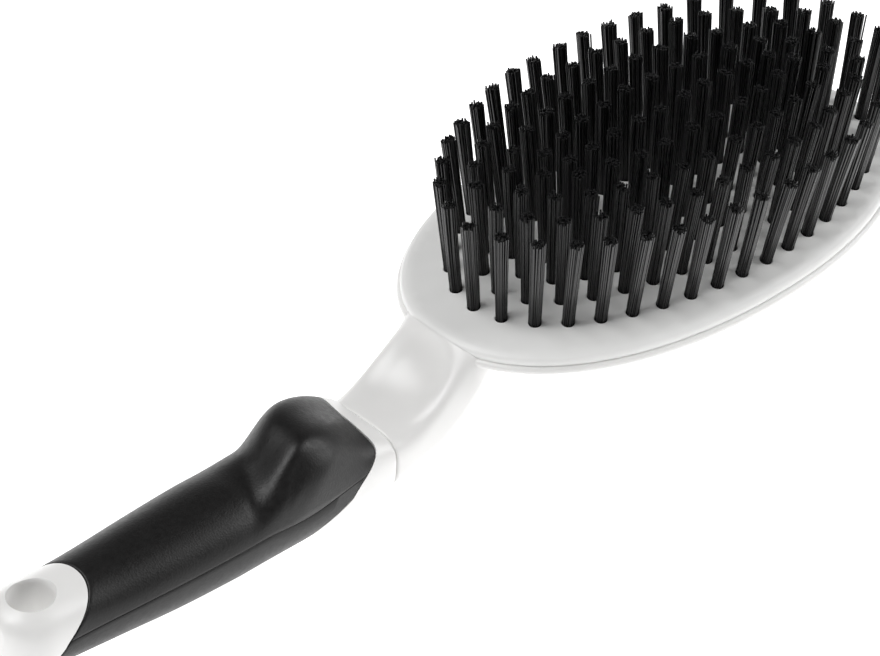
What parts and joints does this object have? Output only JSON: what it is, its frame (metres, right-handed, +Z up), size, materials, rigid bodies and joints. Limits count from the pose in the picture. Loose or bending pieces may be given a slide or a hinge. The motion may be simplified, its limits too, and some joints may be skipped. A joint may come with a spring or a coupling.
{
  "type": "pet grooming brush",
  "caption": "Pet grooming brush: oval head with nylon tufts set in a domed plate, swan neck, soft grip with a thumb rest and a tail with a hanging hole.",
  "frame": {"origin": "on the table under the middle of the brush's outline, as it lies on its back", "axes": "+X to the tip of the head, +Z up with the bristles on top, +Y across the head"},
  "size_m": [0.2356, 0.0706, 0.0434],
  "materials": {
    "white_abs": "satin white moulding",
    "white_abs_plate": "fine matt white moulding",
    "white_abs_handle": "satin white moulding",
    "black_tpe": "matt soft-touch black",
    "black_nylon": "black filament"
  },
  "bodies": {
    "root": {"head_shell": "white_abs", "bristle_plate": "white_abs_plate", "handle_core": "white_abs_handle", "grip_sleeve": "black_tpe", "tufts_ring_1": "black_nylon", "tufts_ring_2": "black_nylon", "tufts_ring_3": "black_nylon", "tufts_ring_4": "black_nylon", "tufts_middle_row": "black_nylon"}
  },
  "joints": []
}
